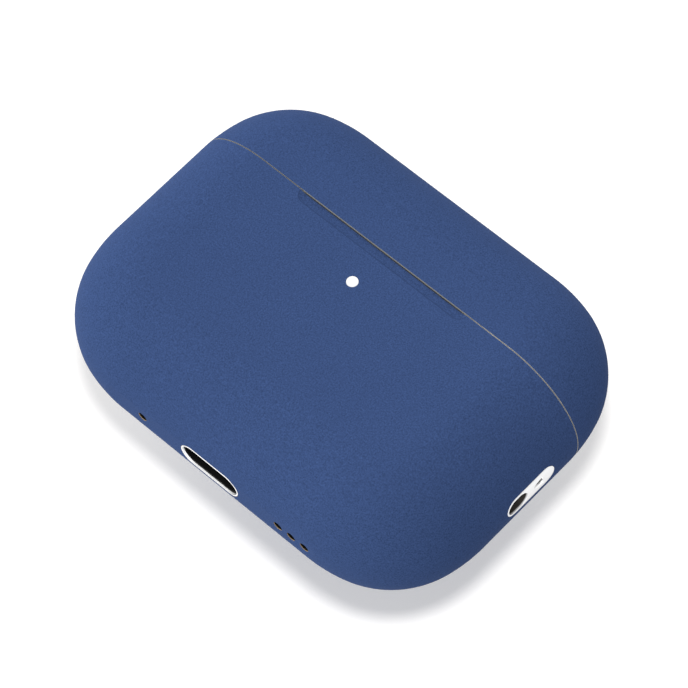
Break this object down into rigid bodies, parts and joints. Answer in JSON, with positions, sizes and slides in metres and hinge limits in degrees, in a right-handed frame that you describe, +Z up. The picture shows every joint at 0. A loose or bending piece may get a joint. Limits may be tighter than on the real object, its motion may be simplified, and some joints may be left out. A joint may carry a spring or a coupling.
{
  "type": "wireless earbuds case",
  "caption": "Pocket charging case for wireless earbuds: painted pebble shell, rear-hinged lid, moulded wells, charging port, button and lanyard loop.",
  "frame": {"origin": "middle of the flat foot that the case stands on, under the charging port", "axes": "+X to the right side with the lanyard loop, +Y to the back with the hinge, +Z up through the lid"},
  "size_m": [0.0606, 0.0218, 0.0452],
  "materials": {
    "painted_shell": "soft-touch matte blue paint on polycarbonate",
    "white_moulding": "glossy white polycarbonate",
    "hinge_steel": "fine brushed stainless steel",
    "pin_steel": "ground stainless steel",
    "port_ring": "bright machined metal",
    "port_can": "nickel-plated stamped steel",
    "port_collar": "black moulded collar",
    "port_insulator": "black moulded insulator",
    "gold_contact": "gold plating",
    "silicone_seal": "black silicone",
    "circuit_board": "dark green solder mask over glass fibre",
    "chip_black": "black moulded package",
    "screw_steel": "zinc-plated steel",
    "speaker_grey": "grey moulded speaker box",
    "fine_mesh": "woven black steel mesh",
    "membrane_white": "expanded membrane film",
    "led_white": "clear epoxy package",
    "light_pipe": "diffusing clear polycarbonate",
    "battery_wrap": "black wrapped lithium-ion cell",
    "adhesive_tape": "double-sided foam tape",
    "flex_amber": "amber polyimide film",
    "magnet_nickel": "nickel-plated neodymium",
    "coil_copper": "enamelled copper winding",
    "ferrite_sheet": "sintered ferrite sheet",
    "painted_button": "soft-touch matte blue paint on polycarbonate",
    "switch_metal": "stamped stainless dome in a black body",
    "loop_metal": "bead-blasted stainless steel",
    "pin_holder": "black moulded pin holder"
  },
  "bodies": {
    "base": {"base_shell": "painted_shell", "earbud_tray": "white_moulding", "hinge_base_leaf": "hinge_steel", "hinge_pin": "pin_steel", "port_trim_ring": "port_ring", "port_collar": "port_collar", "port_receptacle": "port_can", "port_seal": "silicone_seal", "port_tongue": "port_insulator", "port_contacts": "gold_contact", "port_board": "circuit_board", "port_screws": "screw_steel", "speaker_gasket": "silicone_seal", "speaker_mesh": "fine_mesh", "speaker_module": "speaker_grey", "vent_membrane": "membrane_white", "main_board": "circuit_board", "board_chips": "chip_black", "status_led": "led_white", "hall_sensor": "chip_black", "led_light_pipe": "light_pipe", "battery_cell": "battery_wrap", "battery_tape": "adhesive_tape", "battery_flex": "flex_amber", "port_flex": "flex_amber", "closure_magnet": "magnet_nickel", "earbud_magnets": "magnet_nickel", "charging_coil": "coil_copper", "coil_ferrite": "ferrite_sheet", "alignment_magnets": "magnet_nickel", "button_switch": "switch_metal", "button_flex": "flex_amber", "lanyard_loop": "loop_metal", "pin_block_left": "pin_holder", "pin_block_right": "pin_holder"},
    "lid": {"lid_shell": "painted_shell", "lid_liner": "white_moulding", "hinge_lid_leaf": "hinge_steel", "lid_magnet": "magnet_nickel"},
    "setup_button": {"setup_button": "painted_button"},
    "charge_pin_left_front": {"charge_pin_left_front": "gold_contact"},
    "charge_pin_left_rear": {"charge_pin_left_rear": "gold_contact"},
    "charge_pin_right_front": {"charge_pin_right_front": "gold_contact"},
    "charge_pin_right_rear": {"charge_pin_right_rear": "gold_contact"}
  },
  "joints": [
    {"name": "lid_hinge", "type": "hinge", "parent": "base", "child": "lid", "pos_m": [0, 0.01025, 0.0311], "axis": [-1, 0, 0], "range_deg": [0, 100]},
    {"name": "button_press", "type": "slide", "parent": "base", "child": "setup_button", "axis": [0, -1, 0], "range_m": [0, 0.0004], "stiffness_N_per_m": 1500, "springref_m": -0.0003},
    {"name": "charge_pin_left_front_press", "type": "slide", "parent": "base", "child": "charge_pin_left_front", "axis": [0, 0, -1], "range_m": [0, 0.0008], "stiffness_N_per_m": 400, "springref_m": -0.0004},
    {"name": "charge_pin_left_rear_press", "type": "slide", "parent": "base", "child": "charge_pin_left_rear", "axis": [0, 0, -1], "range_m": [0, 0.0008], "stiffness_N_per_m": 400, "springref_m": -0.0004},
    {"name": "charge_pin_right_front_press", "type": "slide", "parent": "base", "child": "charge_pin_right_front", "axis": [0, 0, -1], "range_m": [0, 0.0008], "stiffness_N_per_m": 400, "springref_m": -0.0004},
    {"name": "charge_pin_right_rear_press", "type": "slide", "parent": "base", "child": "charge_pin_right_rear", "axis": [0, 0, -1], "range_m": [0, 0.0008], "stiffness_N_per_m": 400, "springref_m": -0.0004}
  ]
}
